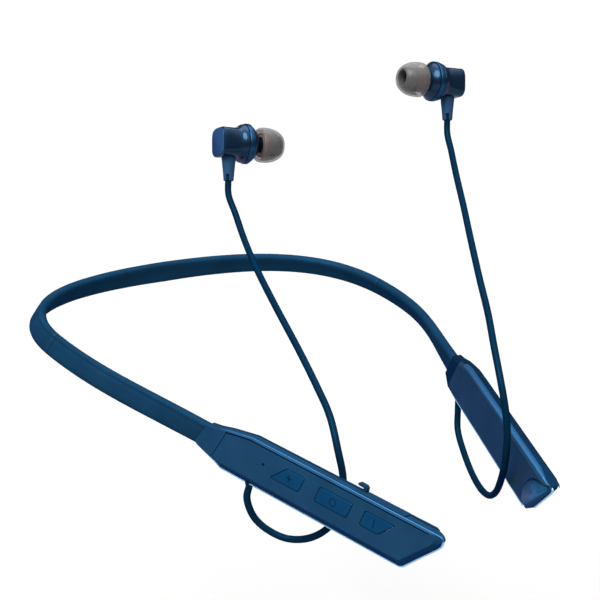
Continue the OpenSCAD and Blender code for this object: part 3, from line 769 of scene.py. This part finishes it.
def pod_back(side):
    """The inner half's shell with a chamfer round its inner face; its neck may have another look, on the
    battery pod a darker one that paints shade.
    """
    rim = fitted(RIM, side)
    inset, crease = grown(rim, -INNER_INSET), CREASE[side]
    fold = inset[crease], inset[FOLD_TOP]
    fall = [0.06 * past(u, v, *fold) for u, v in inset]
    inner = [Vector((u, v, inner_height(u, v) + more)) for (u, v), more in zip(inset, fall)]
    edge = [Vector((u, v, min(n.z + INNER_CHAMFER, PART_LINE - 0.15))) for (u, v), n in zip(rim, inner)]
    rings = [layer(grown(rim, -0.1), 0.3), layer(rim, 0.15), layer(rim, PART_LINE), edge, inner]
    facets = [(*range(crease + 1), *range(FOLD_TOP, len(rim))), tuple(range(crease, FOLD_TOP + 1))]
    shell = faceted(f"pod_shell_{side}", rings, facets)
    front_edge = grown([p[:2] for p in fitted(SHOULDER, side)], 0.05)
    seat = [(u, v) if v < 4.2 else (u + 0.2, v + 1.2) for u, v in front_edge]
    hollow = fitted([(11.4, -5.6), (79.8, -5.6), (88, 4), (88, 5.2), (22, 5.2), (13, 4.4)], side)
    tools = [prism("seat", seat, PART_LINE, 2), prism("hollow", hollow, -1.2, 1)]
    if side == "r":
        tools += [port_tool(), slant_tool()]
    else:
        tools.append(scoop_tool())
    clean(cut(shell, tools))
    rounded(shell, BACK_ROUND)
    neck = [past(f.center.x, f.center.y, *fold) > 0 for f in shell.data.polygons]
    fit_out(shell, f"arm_{side}", [f"pod_back_{side}"], BACK_LOOK[side])
    shell.data.materials.append(MAT[NECK_LOOK[side]])
    shell.data.polygons.foreach_set("material_index", [int(on_neck) for on_neck in neck])
    return settle(shell, POD[side])


def pod_groove_shade(side):
    """A near-black strip on the floor of the groove along the top of the face: painted shadow in the groove.
    """
    outline = fitted(grown(GROOVE, 0.02), side)
    line = settle(prism(f"pod_groove_shade_{side}", outline, FACE - 0.5, FACE - 0.3), POD[side])
    return fit_out(line, f"arm_{side}", [f"pod_front_{side}"], "groove_shade")


def bead(name, side, path, width, look="rim"):
    """A raised line through [u, v, n] points, tapered at both ends and a little taller than wide; its
    default rim look is a painted highlight.
    """
    angles = [math.pi * j / 4 for j in range(8)]
    end, tall, rings = len(path) - 1, 1.4, []
    for k, (u, v, n) in enumerate(path):
        along = (Vector(path[min(k + 1, end)][:2]) - Vector(path[max(k - 1, 0)][:2])).normalized()
        size = 0.05 if k in (0, end) else width
        rings.append([Vector((u + along.y * size * math.cos(a), v - along.x * size * math.cos(a),
                              n + tall * size * math.sin(a))) for a in angles])
    line = settle(loft(f"{name}_{side}", rings), POD[side])
    return fit_out(line, f"arm_{side}", [f"pod_back_{side}"], look)


def rim_height(side, u):
    """The bead lies along the parting line and, on the control pod, climbs the slanted tip."""
    return max(RIM_HEIGHT, TIP_SLOPE * (u - TIP_FROM) - 1.0) if side == "r" else RIM_HEIGHT


def pod_rims(side):
    """Beads along the lower edge and the inner lower edge in the pale rim look, which paints highlights, and
    one along the top of the face in the top look.
    """
    path = fitted(BEAD_LOW + BEAD_TIP[side], side)
    bead("pod_rim", side, [(u, v, rim_height(side, u)) for u, v in path], BEAD_WIDTH)
    top = [(u, v - 0.12, 2.3 if u > 12 else 2.0) for u, v in fitted(BEAD_TOP, side)]
    bead("pod_top_rim", side, top, FINE_BEAD, TOP_LOOK[side])
    low = [(u, v, inner_height(u, v) + 0.33) for u, v in fitted(BEAD_INNER, side)]
    bead("pod_inner_rim", side, low, BEAD_WIDTH)


def top_edge(u):
    """The upper side's height across the pod: level, and falling along the neck."""
    return 7.45 if u > 22 else 6 + 1.45 * (u - 12.6) / 9.4


def pod_trim():
    """A strip let into the battery pod's upper side, drawn lighter as painted highlight on its bevel, round
    at the neck and pointed at the tip; its places are [along, half width, height]."""
    rings = []
    for u, half, n in ((16.4, 0.1, -0.4), (16.7, 0.6, -0.4), (17.4, 0.9, -0.4), (18.8, 1.05, -0.4),
                       (22, 1.05, -0.4), (50, 1.05, -0.4), (91, 1.05, -0.4), (96, 0.7, -0.75),
                       (101, 0.08, -1.2)):
        v = top_edge(u)
        rings.append([Vector((u, v - 0.2, n - half)), Vector((u, v + 0.16, n - half + 0.04)),
                      Vector((u, v + 0.24, n - half * 0.8)), Vector((u, v + 0.3, n)),
                      Vector((u, v + 0.24, n + half * 0.8)), Vector((u, v + 0.16, n + half - 0.04)),
                      Vector((u, v - 0.2, n + half))])
    strip = settle(loft("pod_trim_l", rings), POD["l"])
    return fit_out(strip, "arm_l", ["pod_back_l"], "trim_highlight")


def boot(side):
    """The cord's strain relief: a flange inside the pod, then a collar and two ribs down the cord."""
    u, _, n = EXIT[side]
    place = POD[side] @ Matrix.Translation((u, BOOT_V, n)) @ turn("Z", -90)
    profile = [(0, 1.12), (0, 1.4), (0.55, 1.4), (0.6, 1.15), (1.62, 1.15), (1.65, 1.42), (1.8, 1.5),
               (2.1, 1.48), (2.25, 1.34), (2.4, 1.34), (2.5, 1.42), (2.7, 1.38), (2.8, 1.25), (3.0, 1.25),
               (3.1, 1.12)]
    piece = settle(turned(f"boot_{side}", profile, 40), place)
    return fit_out(piece, f"arm_{side}", [f"cord_boot_{side}"], "boot")


def add_key(name, outline):
    """A key's cap with a narrow chamfer, and the mark on it. Its underside stays clear of the port."""
    shape = soft(outline, 0.8)
    levels = [layer(shape, KEY_FLOOR), layer(shape, KEY_TOP - 0.12), layer(grown(shape, -0.14), KEY_TOP)]
    cap = settle(loft(name + "_cap", levels), POD["r"])
    fit_out(cap, name, [name], "key")
    cap.data.polygons.foreach_set("use_smooth", [False] * len(cap.data.polygons))
    for mark in key_marks(name):
        fit_out(settle(mark, POD["r"]), name, [name], "mark")


def rectangle(low_u, low_v, high_u, high_v):
    """A rectangular outline, anticlockwise."""
    return [(low_u, low_v), (high_u, low_v), (high_u, high_v), (low_u, high_v)]


def bar(name, u, v, half_u, half_v):
    """A straight mark that stands a little out of the key."""
    outline = rectangle(u - half_u, v - half_v, u + half_u, v + half_v)
    return prism(name, soft(outline, 0.08, 2), KEY_TOP - 0.1, KEY_TOP + MARK_HEIGHT)


def key_marks(name):
    """A plus, a bar across the pod, or a ring."""
    if name == "key_plus":
        return [bar("mark_plus_a", 38.9, 1.7, 1.1, 0.14), bar("mark_plus_b", 38.9, 1.7, 0.14, 1.1)]
    if name == "key_minus":
        return [bar("mark_minus", 71.0, 1.7, 0.14, 1.2)]
    outer, inner = circle(55.9, 1.6, 1.25, 32), circle(55.9, 1.6, 1.0, 32)
    low, high = KEY_TOP - 0.1, KEY_TOP + MARK_HEIGHT
    rings = [layer(outer, low), layer(outer, high), layer(inner, high), layer(inner, low)]
    return [loft("mark_ring", rings, closed=True)]


def add_flap():
    """The port's soft cover, a plug under it and a hooked pull tab at its free end."""
    strip = rectangle(FLAP_U[0], FLAP_N[0], FLAP_U[1], FLAP_N[1])
    levels = [(7.06, 0), (7.62, 0), (7.74, -0.12)]
    cover = settle(loft("port_cover", [[Vector((u, v, n)) for u, n in soft(grown(strip, by), 0.5)]
                                       for v, by in levels]))
    hook = soft([(64.5, 7.7), (64.5, 9.0), (63.9, 9.5), (61.5, 9.6), (61.2, 9.0), (61.7, 8.75), (63.4, 8.7),
                 (63.6, 7.7)], 0.18, 3)
    plug = rectangle(73, 6.6, 77.4, 7.3)
    cut(cover, [prism("hook", hook, FLAP_N[0] + 0.05, FLAP_N[0] + 1.5), prism("plug", plug, 0, 0.9)],
        "UNION")
    rounded(cover, 0.1, 2, 40)
    return fit_out(settle(cover, POD["r"]), "port_flap", ["port_flap"], "flap")


for side_name in SIDES:
    pod_front(side_name)
    pod_back(side_name)
    pod_rims(side_name)
    pod_groove_shade(side_name)
    boot(side_name)
pod_trim()
pod_scoop()
for key_name, key_outline in KEYS.items():
    add_key(key_name, key_outline)
add_flap()


# ---- earbuds, in millimetres in their own frame
def squarish(x, half_y, half_z, power, steps=56):
    """A ring across X: a circle at power 2, nearer a rounded square above it."""
    ring = []
    for k in range(steps):
        a = 2 * math.pi * k / steps
        c, s = math.cos(a), math.sin(a)
        ring.append(Vector((x, math.copysign(half_y * abs(c) ** (2 / power), c),
                            math.copysign(half_z * abs(s) ** (2 / power), s))))
    return ring


# SHELL holds squarish rings; the others are [x, radius] profiles that are spun about the nozzle's axis.
SHELL = [(-9.75, 4.5, 4.0, 4.0), (-9.75, 5.05, 4.55, 4.2), (-9.6, 5.3, 4.8, 4.2), (-9.3, 5.4, 4.9, 4.1),
         (-8, 5.35, 4.88, 4.0), (-6, 5.3, 4.9, 3.6), (-4.6, 5.3, 4.95, 3.1), (-3.7, 5.36, 5.1, 2.7),
         (-3.1, 5.5, 5.35, 2.4), (-2.7, 5.8, 5.75, 2.2), (-2.3, 6.12, 6.1, 2.1), (-1.8, 6.35, 6.35, 2),
         (-1.3, 6.45, 6.45, 2), (-1.0, 6.45, 6.45, 2),
         (-0.9, 6.3, 6.3, 2), (-0.9, 5.4, 5.4, 2), (-3.6, 5.3, 5.3, 2), (-3.6, 3.75, 3.75, 2),
         (-9.2, 3.75, 3.75, 2)]
RING = [(-0.85, 5.45), (-0.85, 6.4), (-0.8, 6.55), (-0.6, 6.68), (-0.3, 6.7), (0.3, 6.7), (0.6, 6.68),
        (0.75, 6.6), (0.8, 6.45), (0.8, 5.45)]
CONE = [(0.8, 4.65), (0.8, 6.2), (0.95, 6.28), (1.3, 6.15), (1.9, 5.7), (2.6, 5.0), (3.3, 4.05), (3.8, 3.3),
        (4.1, 2.8), (4.5, 2.5), (5.2, 2.42), (8.5, 2.4), (8.7, 2.6), (9.2, 2.6), (9.5, 2.45), (9.6, 2.25),
        (9.6, 2), (9.2, 2), (9.2, 1.75), (4.2, 1.75), (1.6, 4.6)]
TIP = [(5.6, 3.45), (5.2, 3.6), (5.15, 3.75), (5.4, 3.82), (8, 3.75), (10.9, 3.7), (10.6, 4.2), (9.6, 4.75),
       (8.4, 5.05), (6.6, 5.2), (5.1, 5.1), (4.65, 5.2), (4.6, 5.45), (5.1, 5.72), (6, 5.84), (6.9, 5.85),
       (8.1, 5.78), (9.2, 5.6), (10.3, 5.25), (11.3, 4.78), (12.1, 4.25), (12.6, 3.8), (12.85, 3.45),
       (12.9, 3.2), (12.8, 3.02), (12.4, 3.0), (12.1, 3.42)]
CORE = [(5.25, 3.84), (5.25, 4.0), (5.4, 4.1), (7.9, 4.04), (8.1, 3.9), (8.1, 3.78)]
LINER = [(5.2, 2.7), (5.2, 3.4), (12.0, 3.38), (12.45, 2.96), (12.45, 2.8), (12.2, 2.72)]


def bud_shell(side):
    """The body behind the ring, hollow for the driver."""
    shell = settle(loft(f"bud_shell_{side}", [squarish(*at) for at in SHELL]))
    rounded(shell, 0.1, 2, 40)
    fit_out(settle(shell, BUD[side]), f"bud_{side}", [f"bud_shell_{side}"], "bud")


def bud_stem(side):
    """The tapered leg under the shell, bored for the cord and slit at its mouth, in a lighter look that
    paints light on it.
    """
    profile = [(-4.0, 2.44), (-5, 2.4), (-7, 2.2), (-9, 1.98), (-11, 1.8), (-12.3, 1.7), (STEM_END, 1.6)]
    stem = settle(loft(f"bud_stem_{side}", [[Vector((x - STEM_BACK, y, z)) for x, y in circle(0, 0, r, 40)]
                                            for z, r in profile]))
    slot = [(-3, -0.5), (3, -0.5), (3, 0.5), (-3, 0.5)]
    relief = prism("relief", slot, STEM_END - 1, STEM_END + 2.1)
    relief.data.transform(Matrix.Translation((-STEM_BACK, 0, 0)) @ turn("Z", 56))
    socket = prism("socket", circle(-STEM_BACK, 0, 1.27, 32), STEM_END - 1, STEM_END + 3.4)
    cut(stem, [socket, relief])
    rounded(stem, 0.1, 2, 40)
    fit_out(settle(stem, BUD[side]), f"bud_{side}", [f"bud_shell_{side}"], "stem")


def bud_back(side):
    """The flat cap that closes the rear, in a fine seam."""
    rings = [squarish(-9.5, 4.98, 4.48, 4.2), squarish(-9.9, 4.98, 4.48, 4.2),
             squarish(-10.0, 4.85, 4.35, 4.2)]
    cap = settle(loft(f"bud_cap_{side}", rings), BUD[side])
    fit_out(cap, f"bud_{side}", [f"bud_shell_{side}"], "back")


def spun(name, profile, side, body, node_name, look):
    """A spun piece on one bud or its tip."""
    piece = settle(turned(f"{name}_{side}", profile, 72), BUD[side])
    fit_out(piece, f"{body}_{side}", [f"{node_name}_{side}"], look)
    return piece


def add_bud(side):
    """Shell, stem and cap, ring, nose, the three parts of the tip and the stem's insert."""
    bud_shell(side)
    bud_stem(side)
    bud_back(side)
    spun("bud_ring", RING, side, "bud", "bud_ring", "ring")
    spun("bud_nose", CONE, side, "bud", "bud_front", "bud")
    spun("ear_tip_dome", TIP, side, "tip", "ear_tip", "tip")
    spun("ear_tip_core", CORE, side, "tip", "ear_tip", "core")
    spun("ear_tip_liner", LINER, side, "tip", "ear_tip", "liner")
    upright = Matrix.Translation((-STEM_BACK, 0, STEM_END)) @ turn("Y", -90)
    insert = [(0.05, 1.12), (0.05, 1.2), (0.2, 1.25), (3.35, 1.25), (3.35, 1.12)]
    piece = settle(turned(f"stem_insert_{side}", insert, 40), BUD[side] @ upright)
    fit_out(piece, f"bud_{side}", [f"stem_sleeve_{side}"], "boot")


for side_name in SIDES:
    add_bud(side_name)


# ---- floor, light and finish
def add_floor():
    """A wide sheet of paper, far enough below the earphones for their shadow to be faint."""
    size, low, albedo = 40.0, cad_box[0].z - 0.14, 0.34
    corners = [(x, y, low) for x, y in rectangle(-size, -size, size, size)]
    floor = new_object("floor", corners, [(0, 1, 2, 3)])
    paper = surface("floor_paper", (albedo, albedo, albedo, 1), 0.95, tone=0.01, bump=0, blotch=2.0,
                    Specular_IOR_Level=0.0)
    floor.data.materials.append(paper)


def add_sun(name, azimuth, elevation, spread, strength):
    """Soft light from far away, so that the floor is even."""
    data = bpy.data.lights.new(name, "SUN")
    data.energy = strength
    data.angle = math.radians(spread)
    lamp = bpy.data.objects.new(name, data)
    bpy.context.scene.collection.objects.link(lamp)
    a, e = math.radians(azimuth), math.radians(elevation)
    origin = Vector((math.sin(a) * math.cos(e), -math.cos(a) * math.cos(e), math.sin(e)))
    lamp.rotation_mode = "QUATERNION"
    lamp.rotation_quaternion = origin.to_track_quat("Z", "Y")


def add_world():
    """Faint below about 27 degrees of height, then brighter up to about 58 degrees."""
    world = bpy.data.worlds.new("studio")
    world.use_nodes = True
    tree = world.node_tree
    place = node(tree, "ShaderNodeTexCoord")
    split = node(tree, "ShaderNodeSeparateXYZ")
    tree.links.new(place.outputs["Generated"], split.inputs["Vector"])
    sky = tree.nodes["Background"]
    tree.links.new(ramp(tree, split.outputs["Z"], 0.45, 0.85, 0.15, 2.35), sky.inputs["Strength"])
    sky.inputs["Color"].default_value = (1, 1, 1, 1)
    bpy.context.scene.world = world
    bpy.context.scene.view_settings.view_transform = "Standard"


add_floor()
add_world()
add_sun("key_light", -70, 55, 40, 4.7)
add_sun("fill_light", 150, 60, 50, 1.5)
